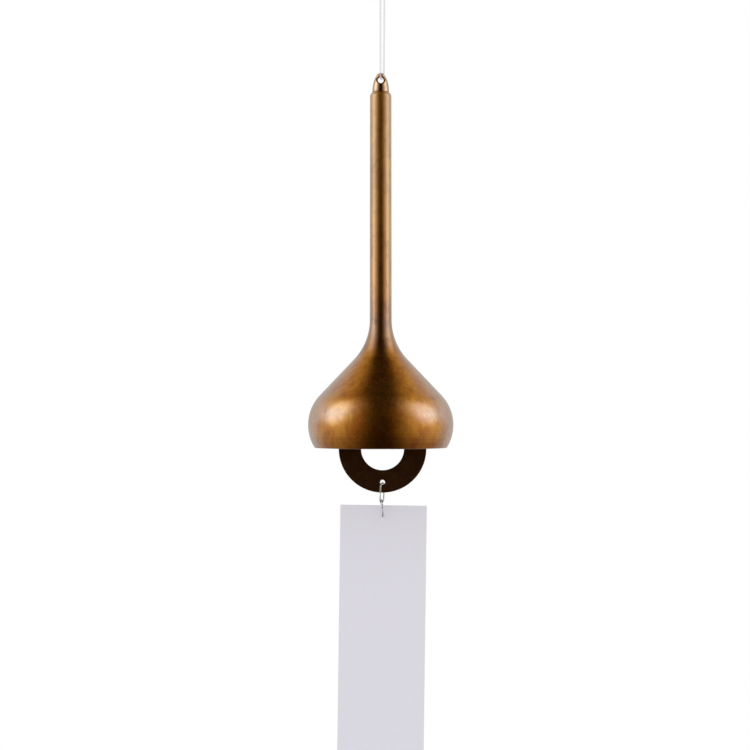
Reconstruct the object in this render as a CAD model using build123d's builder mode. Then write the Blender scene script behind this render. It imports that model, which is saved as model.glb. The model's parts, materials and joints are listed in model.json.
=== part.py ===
"""Furin wind bell: a turned brass bell on a doubled line, with a flat ring clapper and a paper strip.

Millimetres, +Z up, +X to the right and -Y towards a person who reads the paper strip.
The origin is where a hook carries the loop at the top of the line.
The bell's axis is the Z axis, and everything hangs below the origin.
"""

import os
from math import cos, pi, sin, sqrt, tan, radians

from build123d import *

os.makedirs("parts", exist_ok=True)


# Bell: a turned cup that flares out of a long solid neck
bell_diameter = 60.0
bell_height = 146.75
belly_height = 9.5  # widest place, above the rim
lip_curve = 18.0
shoulder_curve = 17.75
flank_angle = 43.6  # between the straight flank and the axis
neck_flare = 23.9
neck_diameter = 9.16
wall = 2.2
rim_round = 0.45
crown_diameter = 13.2  # flat ceiling of the cup
crown_round = 2.0
neck_bevel = 0.85
neck_bevel_drop = 1.2

# Eye tip: an ogive plug, pressed into the top of the neck
tip_diameter = 7.2
tip_height = 8.0
tip_land = 0.5
nose_radius = 2.2
eye_diameter = 2.5
eye_height = 4.85  # centre of the cross hole, above the neck
eye_round = 0.65
spigot_diameter = 4.2
spigot_length = 9.0
spigot_bevel = 0.4
socket_spare = 0.8
fit_clearance = 0.03

# Clapper hanger: a plug with a ring eye, pressed into the crown
hanger_stud_diameter = 4.0
hanger_stud_length = 8.0
hanger_flange_diameter = 8.4
hanger_flange_height = 1.2
hanger_wire = 1.2
hanger_hole = 2.4
clapper_offset = 0.75  # the clapper hangs this far to the right of the bell's axis

# Ring clapper: a flat ring with a small hole at its top and one at its foot
ring_diameter = 36.2
ring_bore = 17.7
ring_thickness = 1.6
ring_drop = 0.4  # centre of the ring, below the rim
ring_edge = 0.25
ring_hole_diameter = 2.0
ring_hole_inset = 4.3  # holes from the ring's outer edge
ring_hole_bevel = 0.4

# Thread of the clapper
thread_diameter = 0.7
thread_knot_diameter = 2.4
thread_knot_height = 2.2
thread_knot_gap = 1.0  # knot's top below the eye's wire
thread_gap = 0.15
thread_seat_gap = 0.12
strand_spacing = 1.1  # the two strands where they enter the knot

# Hanging line: one line through the eye, both strands tied in a knot, and a loop above it
line_diameter = 0.8
line_drop = 52.0  # hook to eye
line_knot_diameter = 3.4
line_knot_height = 2.9
line_knot_drop = 15.2  # hook to knot's centre
line_knot_offset = 0.72
line_seat_gap = 0.1
line_eye_rise = 0.72  # the line bears on the top of the cross hole
loop_foot_angle = 25.0
loop_foot_gap = 0.12
loop_foot_run = 7.0
hook_bend = 2.5  # where the loop lies over its hook

# Bends of cords
bend_share = 0.45  # of the shorter run beside a bend
loop_share = 0.9  # of half the way between the strands, where a cord turns back

# Wire links between ring and strip
link_wire = 0.62
link_butt_gap = 0.1
upper_link_width = 3.2
upper_link_length = 8.2
upper_link_turn = 27.0
upper_link_lean = 3.0
upper_link_sink = 0.32  # top wire below the centre of the ring's hole
lower_link_width = 4.2
lower_link_length = 7.25
lower_link_turn = -6.0
lower_link_lean = -2.5
link_overlap = 1.2  # top wire of the lower link above the bottom wire of the upper one

# Paper strip
strip_width = 35.2
strip_length = 180.0
strip_thickness = 0.4
strip_hole_diameter = 1.5
strip_hole_inset = 5.4
strip_hole_offset = 0.42  # hole to the left of the strip's middle
strip_lean = 0.75
strip_hole_gap = 0.1

bell_radius = bell_diameter / 2
neck_radius = neck_diameter / 2
tip_radius = tip_diameter / 2
line_radius = line_diameter / 2
thread_radius = thread_diameter / 2
eye_z = -line_drop
neck_top = eye_z - eye_height
rim_z = neck_top - bell_height


def finish(part, label):
    """Name a finished piece and write its STEP file."""
    part.label = label
    export_step(part, f"parts/{label}.step")
    return part


# Bell body
# Both sides of the cup share their centres, so the wall is even from rim to flank.
flank = radians(flank_angle)
shoulder_x = bell_radius - shoulder_curve
lip_x = bell_radius - lip_curve
belly_z = rim_z + belly_height


def rim_radius(inset):
    """Radius of the cup at the rim, measured an inset inside its outer face."""
    return lip_x + sqrt((lip_curve - inset) ** 2 - belly_height**2)


def flank_start(inset):
    """Where the shoulder arc ends and the straight flank starts."""
    reach = shoulder_curve - inset
    return (shoulder_x + reach * cos(flank), belly_z + reach * sin(flank))


flare_end_x = neck_radius + neck_flare * (1 - cos(flank))
flank_run = (flank_start(0)[0] - flare_end_x) / sin(flank)
flare_end = (flare_end_x, flank_start(0)[1] + flank_run * cos(flank))
neck_start = (neck_radius, flare_end[1] + neck_flare * sin(flank))
inner_start = flank_start(wall)
crown_radius = crown_diameter / 2
crown_z = inner_start[1] + (inner_start[0] - crown_radius) / tan(flank)
crown_edge = (crown_radius, crown_z)
lip_mid = radians(-15)
shoulder_mid = flank / 2
flare_mid = flank / 2


def lip_point(inset):
    """A point half way along the lip arc."""
    reach = lip_curve - inset
    return (lip_x + reach * cos(lip_mid), belly_z + reach * sin(lip_mid))


def shoulder_point(inset):
    """A point half way along the shoulder arc."""
    reach = shoulder_curve - inset
    return (shoulder_x + reach * cos(shoulder_mid), belly_z + reach * sin(shoulder_mid))


flare_point = (
    neck_radius + neck_flare * (1 - cos(flare_mid)),
    neck_start[1] - neck_flare * sin(flare_mid),
)

with BuildPart() as bell_body:
    with BuildSketch(Plane.XZ) as bell_section:
        with BuildLine():
            ThreePointArc((rim_radius(0), rim_z), lip_point(0), (bell_radius, belly_z))
            ThreePointArc((bell_radius, belly_z), shoulder_point(0), flank_start(0))
            Line(flank_start(0), flare_end)
            ThreePointArc(flare_end, flare_point, neck_start)
            Polyline(
                neck_start,
                (neck_radius, neck_top - neck_bevel_drop),
                (neck_radius - neck_bevel, neck_top),
                (0, neck_top),
                (0, crown_z),
                crown_edge,
                inner_start,
            )
            ThreePointArc(inner_start, shoulder_point(wall), (bell_radius - wall, belly_z))
            ThreePointArc((bell_radius - wall, belly_z), lip_point(wall), (rim_radius(wall), rim_z))
            Line((rim_radius(wall), rim_z), (rim_radius(0), rim_z))
        make_face()
        rim_corners = bell_section.vertices().group_by(Axis.Y)[0]
        fillet(rim_corners, radius=rim_round)
        crown_corner = bell_section.vertices().sort_by_distance(crown_edge)[0]
        fillet(crown_corner, radius=crown_round)
        bevel_corner = (neck_radius, neck_top - neck_bevel_drop)
        fillet(bell_section.vertices().sort_by_distance(bevel_corner)[0], radius=neck_bevel)
    revolve(axis=Axis.Z)
    # Socket for the eye tip
    with BuildSketch(Plane.XY.offset(neck_top)):
        Circle(spigot_diameter / 2 + fit_clearance)
    extrude(amount=-(spigot_length + socket_spare), mode=Mode.SUBTRACT)
    # Socket for the clapper hanger
    with BuildSketch(Plane.XY.offset(crown_z)):
        Circle(hanger_stud_diameter / 2 + fit_clearance)
    extrude(amount=hanger_stud_length + socket_spare, mode=Mode.SUBTRACT)
finish(bell_body.part, "bell_body")


# Eye tip
# The side arc starts upright on the land and runs into the round nose.
side_start = (tip_radius, neck_top + tip_land)
nose_centre = (0, neck_top + tip_height - nose_radius)
side_rise = nose_centre[1] - side_start[1]
side_curve = (tip_radius**2 + side_rise**2 - nose_radius**2) / (2 * (tip_radius - nose_radius))
side_sine = side_rise / (side_curve - nose_radius)
side_cosine = sqrt(1 - side_sine**2)
nose_start = (nose_radius * side_cosine, nose_centre[1] + nose_radius * side_sine)

with BuildPart() as eye_tip:
    with BuildSketch(Plane.XZ):
        with BuildLine():
            Polyline(
                (0, neck_top - spigot_length),
                (spigot_diameter / 2 - spigot_bevel, neck_top - spigot_length),
                (spigot_diameter / 2, neck_top - spigot_length + spigot_bevel),
                (spigot_diameter / 2, neck_top),
                (tip_radius, neck_top),
                side_start,
            )
            RadiusArc(side_start, nose_start, -side_curve)
            RadiusArc(nose_start, (0, neck_top + tip_height), -nose_radius)
            Line((0, neck_top + tip_height), (0, neck_top - spigot_length))
        make_face()
    revolve(axis=Axis.Z)
    with BuildSketch(Plane.XZ):
        with Locations((0, eye_z)):
            Circle(eye_diameter / 2)
    extrude(amount=tip_diameter, both=True, mode=Mode.SUBTRACT)
    eye_wall = eye_tip.faces().sort_by_distance((0, 0, eye_z))[0]
    fillet(eye_wall.edges().filter_by(GeomType.LINE, reverse=True), radius=eye_round)
finish(eye_tip.part, "eye_tip")


# Clapper hanger
hanger_ring = (hanger_hole + hanger_wire) / 2
hanger_ring_z = crown_z - hanger_flange_height - hanger_ring
eye_wire_z = hanger_ring_z - hanger_ring

with BuildPart() as clapper_hanger:
    with BuildSketch(Plane.XY.offset(crown_z)):
        Circle(hanger_stud_diameter / 2)
    extrude(amount=hanger_stud_length)
    chamfer(clapper_hanger.edges().group_by(Axis.Z)[-1], length=spigot_bevel)
    with BuildSketch(Plane.XY.offset(crown_z)):
        Circle(hanger_flange_diameter / 2)
    extrude(amount=-hanger_flange_height)
    with BuildSketch(Plane.YZ.offset(clapper_offset)):
        with Locations((0, eye_wire_z)):
            Circle(hanger_wire / 2)
    revolve(axis=Axis((clapper_offset, 0, hanger_ring_z), (0, 1, 0)))
finish(clapper_hanger.part, "clapper_hanger")


def widest_bend(points, corner):
    """Radius of the largest arc that the two runs at a corner of a route leave room for."""
    before = Vector(points[corner]) - Vector(points[corner - 1])
    after = Vector(points[corner + 1]) - Vector(points[corner])
    run = min(before.length, after.length)
    return bend_share * run / tan(radians(before.get_angle(after) / 2))


def tube(points, radii, diameter, label):
    """A round cord along straight runs joined by tangent arcs."""
    with BuildPart() as cord:
        with BuildLine() as route:
            FilletPolyline(*points, radius=radii)
        with BuildSketch(Plane(origin=route.line @ 0, z_dir=route.line % 0)):
            Circle(diameter / 2)
        sweep()
    length = route.wire().length
    fullness = cord.part.volume / (pi * diameter**2 / 4 * length)
    print(label, "length", round(length, 2), "volume over section times length", round(fullness, 4))
    print(label, "radii", [round(radius, 2) for radius in radii])
    return cord.part


def knot(centre, diameter, height, ball_top):
    """A tied knot as a barrel with a flat foot, and a flat or a ball-shaped top."""
    radius = diameter / 2
    half = height / 2
    foot = sqrt(radius**2 - half**2)
    with BuildPart() as tied:
        with BuildSketch(Plane.XZ):
            with BuildLine():
                Polyline((0, half), (0, -half), (foot, -half))
                ThreePointArc((foot, -half), (radius, 0), (foot, half))
                if ball_top:
                    RadiusArc((foot, half), (0, radius), -radius)
                    Line((0, radius), (0, half))
                else:
                    Line((foot, half), (0, half))
            make_face()
        revolve(axis=Axis.Z)
    return tied.part.moved(Location(centre))


# Clapper thread: a short loop on the hanger's eye, a knot, and a long loop through the ring
pass_radius = hanger_wire / 2 + thread_radius + thread_gap
thread_knot_z = eye_wire_z - hanger_wire / 2 - thread_knot_gap - thread_knot_height / 2
knot_strand = strand_spacing / 2
eye_loop_foot = thread_knot_z + thread_knot_height / 2 + thread_seat_gap
eye_loop_points = [
    (clapper_offset, -knot_strand, eye_loop_foot),
    (clapper_offset, -pass_radius, eye_wire_z - hanger_wire / 2),
    (clapper_offset, -pass_radius, eye_wire_z + pass_radius),
    (clapper_offset, pass_radius, eye_wire_z + pass_radius),
    (clapper_offset, pass_radius, eye_wire_z - hanger_wire / 2),
    (clapper_offset, knot_strand, eye_loop_foot),
]
eye_bend = loop_share * pass_radius
foot_bend = widest_bend(eye_loop_points, 1)
eye_loop_radii = [foot_bend, eye_bend, eye_bend, foot_bend]
thread_eye_loop = tube(eye_loop_points, eye_loop_radii, thread_diameter, "thread_eye_loop")
finish(thread_eye_loop, "thread_eye_loop")

thread_knot = knot(
    (clapper_offset, 0, thread_knot_z), thread_knot_diameter, thread_knot_height, ball_top=False
)
finish(thread_knot, "thread_knot")

ring_z = rim_z - ring_drop
ring_hole_radius = ring_diameter / 2 - ring_hole_inset
ring_top_hole_z = ring_z + ring_hole_radius
ring_foot_hole_z = ring_z - ring_hole_radius
ring_pass = ring_thickness / 2 + thread_radius + thread_gap
thread_rest_z = ring_top_hole_z + ring_hole_diameter / 2 - thread_radius - 2 * thread_gap
thread_foot = thread_knot_z - thread_knot_height / 2 - thread_seat_gap
thread_turn_z = (thread_foot + thread_rest_z) / 2
clapper_thread_points = [
    (clapper_offset, -knot_strand, thread_foot),
    (clapper_offset, -ring_pass, thread_turn_z),
    (clapper_offset, -ring_pass, thread_rest_z),
    (clapper_offset, ring_pass, thread_rest_z),
    (clapper_offset, ring_pass, thread_turn_z),
    (clapper_offset, knot_strand, thread_foot),
]
ring_bend = loop_share * ring_pass
side_bend = widest_bend(clapper_thread_points, 1)
clapper_thread_radii = [side_bend, ring_bend, ring_bend, side_bend]
clapper_thread = tube(
    clapper_thread_points, clapper_thread_radii, thread_diameter, "clapper_thread"
)
finish(clapper_thread, "clapper_thread")


# Ring clapper
with BuildPart() as ring_clapper:
    with BuildSketch(Plane.XZ):
        with Locations((clapper_offset, ring_z)):
            Circle(ring_diameter / 2)
            Circle(ring_bore / 2, mode=Mode.SUBTRACT)
    extrude(amount=ring_thickness / 2, both=True)
    chamfer(ring_clapper.edges(), length=ring_edge)
    with BuildSketch(Plane.XZ):
        with Locations((clapper_offset, ring_top_hole_z), (clapper_offset, ring_foot_hole_z)):
            Circle(ring_hole_diameter / 2)
    extrude(amount=ring_thickness, both=True, mode=Mode.SUBTRACT)
    hole_mouths = ring_clapper.edges().filter_by(GeomType.CIRCLE).group_by(SortBy.RADIUS)[0]
    chamfer(hole_mouths, length=ring_hole_bevel)
finish(ring_clapper.part, "ring_clapper")


# Wire links
def link_plane(top, turn, lean):
    """Plane of a link: x across the link, y up along it, from its top wire."""
    across = Vector(sin(radians(turn)), cos(radians(turn)), 0)
    up = Vector(sin(radians(lean)), 0, cos(radians(lean)))
    return Plane(origin=top, x_dir=across, z_dir=across.cross(up))


def wire_link(plane, width, length):
    """One oval link of round wire, bent shut with a fine butt gap in one side."""
    half = width / 2
    low = half - length
    butt = -length / 2
    with BuildPart() as link:
        with BuildLine(plane) as route:
            Line((-half, butt + link_butt_gap / 2), (-half, -half))
            ThreePointArc((-half, -half), (0, 0), (half, -half))
            Line((half, -half), (half, low))
            ThreePointArc((half, low), (0, -length), (-half, low))
            Line((-half, low), (-half, butt - link_butt_gap / 2))
        with BuildSketch(Plane(origin=route.line @ 0, z_dir=route.line % 0)):
            Circle(link_wire / 2)
        sweep()
    return link.part


upper_link_top = Vector(clapper_offset, 0, ring_foot_hole_z - upper_link_sink)
upper_link_plane = link_plane(upper_link_top, upper_link_turn, upper_link_lean)
upper_link_foot = upper_link_plane.from_local_coords((0, -upper_link_length, 0))
upper_link = wire_link(upper_link_plane, upper_link_width, upper_link_length)
finish(upper_link, "upper_link")

lower_link_top = upper_link_foot + Vector(0, 0, link_overlap)
lower_link_plane = link_plane(lower_link_top, lower_link_turn, lower_link_lean)
lower_link_foot = lower_link_plane.from_local_coords((0, -lower_link_length, 0))
lower_link = wire_link(lower_link_plane, lower_link_width, lower_link_length)
finish(lower_link, "lower_link")


# Paper strip
strip_hole_drop = strip_hole_diameter / 2 - link_wire / 2 - strip_hole_gap
strip_hole = lower_link_foot - Vector(0, 0, strip_hole_drop)
strip_across = Vector(cos(radians(strip_lean)), 0, -sin(radians(strip_lean)))
strip_plane = Plane(origin=strip_hole, x_dir=strip_across, z_dir=(0, -1, 0))

with BuildPart() as paper_strip:
    with BuildSketch(strip_plane):
        with Locations((strip_hole_offset, strip_hole_inset - strip_length / 2)):
            Rectangle(strip_width, strip_length)
        Circle(strip_hole_diameter / 2, mode=Mode.SUBTRACT)
    extrude(amount=strip_thickness / 2, both=True)
finish(paper_strip.part, "paper_strip")


# Hanging line
line_knot_z = -line_knot_drop
line_knot = knot(
    (line_knot_offset, 0, line_knot_z), line_knot_diameter, line_knot_height, ball_top=True
)
finish(line_knot, "line_knot")

line_foot = line_knot_z - line_knot_height / 2 - line_seat_gap
line_rest_z = eye_z + line_eye_rise
hanging_line_points = [
    (-0.1, -0.45, line_foot),
    (-0.1, -3.2, line_rest_z),
    (0.35, 3.2, line_rest_z),
    (1.3, 3.1, line_rest_z + 2.3),
    (1.55, 0.45, line_foot),
]
hanging_line_radii = [
    eye_round + line_radius,
    eye_round + line_radius,
    widest_bend(hanging_line_points, 3),
]
hanging_line = tube(hanging_line_points, hanging_line_radii, line_diameter, "hanging_line")
finish(hanging_line, "hanging_line")

foot_reach = line_knot_diameter / 2 + loop_foot_gap
foot_sine = sin(radians(loop_foot_angle))
foot_cosine = cos(radians(loop_foot_angle))
loop_foot = foot_reach * foot_sine
loop_foot_z = line_knot_z + foot_reach * foot_cosine
loop_side = loop_foot + loop_foot_run * foot_sine
loop_side_z = loop_foot_z + loop_foot_run * foot_cosine
hanging_loop_points = [
    (line_knot_offset - loop_foot, 0, loop_foot_z),
    (line_knot_offset - loop_side, 0, loop_side_z),
    (-2.7, 0, line_radius),
    (2.7, 0, line_radius),
    (line_knot_offset + loop_side, 0, loop_side_z),
    (line_knot_offset + loop_foot, 0, loop_foot_z),
]
hanging_loop_radii = [
    widest_bend(hanging_loop_points, 1),
    hook_bend,
    hook_bend,
    widest_bend(hanging_loop_points, 4),
]
hanging_loop = tube(hanging_loop_points, hanging_loop_radii, line_diameter, "hanging_loop")
finish(hanging_loop, "hanging_loop")
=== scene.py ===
"""Looks of a furin wind bell: satin brass, a doubled line, a dark ring clapper, wire links and a paper strip.

Metres, +Z up, +X to the right and -Y towards a person who faces the paper strip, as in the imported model.
"""

import json
from math import asin, cos, pi, radians, sin, tan

import bmesh
import bpy
from bpy.props import FloatProperty, FloatVectorProperty, IntProperty, PointerProperty
from bpy.types import Operator, Panel, PropertyGroup
from mathutils import Matrix, Vector


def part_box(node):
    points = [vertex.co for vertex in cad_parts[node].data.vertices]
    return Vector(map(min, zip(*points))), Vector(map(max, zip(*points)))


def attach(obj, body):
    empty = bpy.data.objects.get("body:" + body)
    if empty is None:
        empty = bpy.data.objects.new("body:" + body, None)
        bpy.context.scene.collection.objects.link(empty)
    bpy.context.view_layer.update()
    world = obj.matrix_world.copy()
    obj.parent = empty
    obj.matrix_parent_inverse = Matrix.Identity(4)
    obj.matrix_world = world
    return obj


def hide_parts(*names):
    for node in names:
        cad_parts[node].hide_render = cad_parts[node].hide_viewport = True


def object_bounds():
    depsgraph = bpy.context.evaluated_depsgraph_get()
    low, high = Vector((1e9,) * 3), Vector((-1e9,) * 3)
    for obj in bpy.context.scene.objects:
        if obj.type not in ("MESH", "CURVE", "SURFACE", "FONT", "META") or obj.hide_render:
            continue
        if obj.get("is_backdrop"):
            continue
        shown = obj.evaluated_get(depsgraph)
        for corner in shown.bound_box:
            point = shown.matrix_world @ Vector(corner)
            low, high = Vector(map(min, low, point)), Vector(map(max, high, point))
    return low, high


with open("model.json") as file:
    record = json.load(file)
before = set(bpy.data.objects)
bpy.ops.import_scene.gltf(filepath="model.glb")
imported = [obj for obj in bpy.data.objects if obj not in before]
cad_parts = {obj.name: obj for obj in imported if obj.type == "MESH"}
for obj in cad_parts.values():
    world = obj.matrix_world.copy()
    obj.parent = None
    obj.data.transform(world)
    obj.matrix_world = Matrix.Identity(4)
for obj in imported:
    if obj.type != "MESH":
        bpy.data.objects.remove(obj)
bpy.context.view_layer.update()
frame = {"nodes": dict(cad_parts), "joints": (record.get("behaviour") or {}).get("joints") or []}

bl_info = {
    "name": "Furin Wind Bell",
    "version": (1, 0, 0),
    "blender": (4, 5, 0),
    "location": "3D View > Sidebar > Wind Bell",
    "description": "Dresses a packed wind bell: brass, line, ring clapper, wire links and paper strip",
    "category": "Add Mesh",
}

MM = 0.001
RIM_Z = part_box("bell_body")[0].z
# Stands what lies in the XY plane upright, with its top side to the front
UPRIGHT = Matrix.Rotation(pi / 2, 4, "X")
# Faces that meet at less than this many degrees look smooth
SMOOTH = 32
SMOOTH_COPIED = 28
SMOOTH_CORD = 50
# Points that lie nearer to each other than this are merged
MERGE_TURNED = 1e-7
MERGE_CORD = 1e-6
MERGE_COPIED = 2e-6
# A point this near to a circle lies on it
NEAR = 1e-6
WIRE_SIDES = 24
WIRE_BEND_STEPS = 28
CORD_STEPS = 16
CORD_ROUNDNESS = 6
KNOT_SIDES = 16
KNOT_TURN_STEPS = 32
# Radius of a knot's strands as a share of the cord's diameter, just under half so that no two touch
KNOT_STRAND = 0.49
# Straight strands inside a knot, as a share of its height, and the rounding of all its ends
KNOT_CORE = 0.98
KNOT_ROUND = 0.12


def joint_place(name):
    """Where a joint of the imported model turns, at rest."""
    joint = next(joint for joint in frame["joints"] if joint["name"] == name)
    return Vector(joint["pos_m"])


def length(name, description, millimetres):
    """A length that the sidebar shows in the scene's own unit."""
    return FloatProperty(
        name=name, description=description, default=millimetres * MM, unit="LENGTH", precision=5
    )


def angle(name, description, degrees):
    """An angle that the sidebar shows in degrees."""
    return FloatProperty(name=name, description=description, default=radians(degrees), subtype="ANGLE")


def colour(name, description, red, green, blue):
    """A linear colour."""
    return FloatVectorProperty(
        name=name, description=description, default=(red, green, blue), subtype="COLOR", min=0, max=1
    )


def amount(name, description, value):
    """A plain number from nothing upwards."""
    return FloatProperty(name=name, description=description, default=value, min=0)


class BellSizes(PropertyGroup):
    """Outline of the turned brass."""

    belly_height: length("Belly height", "Widest place of the cup, above its rim", 9.5)
    lip_curve: length("Lip curve", "Radius of the cup's side below its belly", 18.0)
    shoulder_curve: length("Shoulder curve", "Radius of the cup's side above its belly", 17.75)
    flank_angle: angle("Flank angle", "Between the straight flank and the axis", 43.6)
    neck_flare: length("Neck flare", "Radius of the sweep from flank to neck", 23.9)
    neck_diameter: length("Neck diameter", "Across the long neck's foot", 9.0)
    neck_top_diameter: length("Neck top diameter", "Across the long neck's top", 8.8)
    tip_slimming: amount("Tip slimming", "Width of the eye tip as a share of its solid's width", 0.95)
    wall: length("Wall", "Thickness of the cup", 2.2)
    rim_round: length("Rim round", "Rounding of the rim's two corners", 0.45)
    crown_diameter: length("Crown diameter", "Flat ceiling inside the cup", 13.2)
    crown_round: length("Crown round", "Rounding of that ceiling's corner", 2.0)
    neck_bevel: length("Neck bevel", "Width of the bevel at the neck's top", 0.85)
    neck_bevel_drop: length("Neck bevel drop", "Height of that bevel", 1.2)
    neck_bevel_round: length("Neck bevel round", "Rounding at the bevel's foot", 0.2975)
    neck_top_round: length("Neck top round", "Rounding at the bevel's top", 0.1275)
    turns: IntProperty(name="Turning steps", description="Faces round the bell", default=192, min=24)


class ClapperSizes(PropertyGroup):
    """Ring clapper and its wire links."""

    bore: length("Bore", "Hole through the ring's middle", 17.7)
    edge: length("Edge", "Bevel round the ring's edges", 0.25)
    edge_support: length("Edge support", "Width of the flat band beside each bevel", 0.4)
    hole_diameter: length("Hole diameter", "Small holes for thread and link", 2.0)
    hole_bevel: length("Hole bevel", "Countersink of the small holes", 0.4)
    wire: length("Wire", "Diameter of the links' wire", 0.62)
    wire_round: length("Wire round", "Rounding of the wire's cut ends", 0.0496)
    butt_gap: length("Butt gap", "Gap where each link is bent shut", 0.1)
    link_sink: length("Link sink", "Top wire of the first link below the hole's centre", 0.32)
    first_width: length("First width", "Across the first link, between wire centres", 3.2)
    first_length: length("First length", "Along the first link, between wire centres", 8.2)
    first_turn: angle("First turn", "The first link, turned about its length", 27.0)
    first_lean: angle("First lean", "The first link, leaning to the left", 3.0)
    second_width: length("Second width", "Across the second link, between wire centres", 4.2)
    second_length: length("Second length", "Along the second link, between wire centres", 7.25)
    second_turn: angle("Second turn", "The second link, turned about its length", -6.0)
    second_lean: angle("Second lean", "The second link, leaning to the right", -2.5)
    overlap: length("Overlap", "Top wire of the second link above the foot of the first", 1.2)


class StripSizes(PropertyGroup):
    """Paper strip."""

    width: length("Width", "Across the strip", 35.7)
    height: length("Length", "Along the strip", 180.0)
    thickness: length("Thickness", "Of the paper", 0.3)
    hole_diameter: length("Hole diameter", "Pierced hole for the second link", 0.96)
    hole_rise: length("Hole rise", "Pierced hole above the strip's hinge", 0.34)
    hinge_inset: length("Hinge inset", "Hinge below the strip's top edge", 5.4)
    hinge_offset: length("Hinge offset", "Hinge to the left of the strip's middle", 0.42)
    lean: angle("Lean", "The strip's foot swings to the left by this much", 0.75)
    bow: length("Bow", "How far the strip's foot curls forwards", 0.9)


class LineSizes(PropertyGroup):
    """Hanging line and clapper thread."""

    line_diameter: length("Line diameter", "Of the doubled line", 0.8)
    thread_diameter: length("Thread diameter", "Of the clapper's thread", 0.7)
    line_knot_diameter: length("Line knot diameter", "Across the line's knot", 3.4)
    line_knot_height: length("Line knot height", "Along the line's knot", 2.9)
    thread_knot_diameter: length("Thread knot diameter", "Across the thread's knot", 2.4)
    thread_knot_height: length("Thread knot height", "Along the thread's knot", 2.2)
    line_length: length("Line length", "Both strands from knot to eye and back", 74.85)
    loop_length: length("Loop length", "From the knot over the hook and back", 32.9)
    thread_length: length("Thread length", "From the knot through the ring and back", 32.7)


class FinishColours(PropertyGroup):
    """Colours of the finishes."""

    brass: colour("Brass", "Golden brown of the bell", 0.52, 0.215, 0.026)
    brass_red: colour("Red brass", "Redder clouds in the patina", 0.43, 0.15, 0.018)
    brass_gold: colour("Gold brass", "Golden clouds in the patina", 0.62, 0.3, 0.032)
    # Dark brass is also the colour of the painted shade where flank and neck meet
    brass_dark: colour("Dark brass", "Dark specks in the patina", 0.11, 0.03, 0.005)
    tip: colour("Tip brass", "Shinier brass of the eye tip", 0.6, 0.38, 0.24)
    tip_dull: colour("Dull tip brass", "Clouds on the eye tip", 0.42, 0.26, 0.15)
    ring: colour("Ring", "Dark brown of the ring clapper", 0.126, 0.056, 0.023)
    ring_worn: colour("Worn ring", "Lighter clouds on the ring clapper", 0.18, 0.09, 0.036)
    steel: colour("Steel", "Wire links", 0.68, 0.69, 0.72)
    steel_dull: colour("Dull steel", "Marks on the wire links", 0.4, 0.38, 0.36)
    line: colour("Line", "Half-clear line and thread", 0.71, 0.71, 0.725)
    line_twist: colour("Line twist", "Faint twist of line and thread", 0.5, 0.49, 0.52)
    paper: colour("Paper", "Pale lilac grey of the strip", 0.805, 0.764, 0.81)
    paper_fibre: colour("Paper fibre", "Fibres of the strip", 0.64, 0.61, 0.65)
    paper_cloud: colour("Paper cloud", "Lighter clouds of the strip", 0.82, 0.785, 0.825)


class BrassLayers(PropertyGroup):
    """How strong each layer of the bell's finish is."""

    clean_roughness: amount("Clean roughness", "Of clean brass", 0.215)
    mottle_roughness: amount("Mottle roughness", "Added by the mottling", 0.07)
    grain_roughness: amount("Grain roughness", "Added by the fine grain", 0.06)
    neck_roughness: amount("Neck roughness", "Added on the neck", 0.06)
    top_roughness: amount("Top roughness", "Added towards the neck's top", 0.14)
    belly_roughness: amount("Belly roughness", "Added on the belly", 0.03)
    mottle_gold: amount("Golden mottle", "Gold in the mottling", 0.6)
    top_gold: amount("Golden top", "Gold towards the neck's top", 0.5)
    base_stain: amount("Base stain", "Dark stain all over", 0.03)
    speck_stain: amount("Speck stain", "Of the specks", 0.15)
    patch_stain: amount("Patch stain", "Of the large patches", 0.26)
    # Painted shade: darkens the brass where flank and neck meet, standing in for the dark reflection there
    collar_shade: amount("Collar shade", "Where flank and neck meet", 0.42)
    neck_cloud_stain: amount("Neck cloud stain", "Of the neck's clouds", 0.16)
    neck_mottle_stain: amount("Neck mottle stain", "Of the neck's mottling", 0.14)
    ring_stain: amount("Ring stain", "Of the turning lines at the rim", 0.2)
    belly_lacquer: amount("Belly lacquer", "Gloss on the belly", 0.35)
    neck_lacquer: amount("Neck lacquer", "Gloss on the neck", 0.47)
    shoulder_lacquer: amount("Shoulder lacquer", "Gloss on the shoulder", 0.7)
    collar_lacquer: amount("Collar lacquer", "Gloss where flank and neck meet", 0.15)
    lacquer_wear: amount("Lacquer wear", "How much stain thins it", 0.25)


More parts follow.
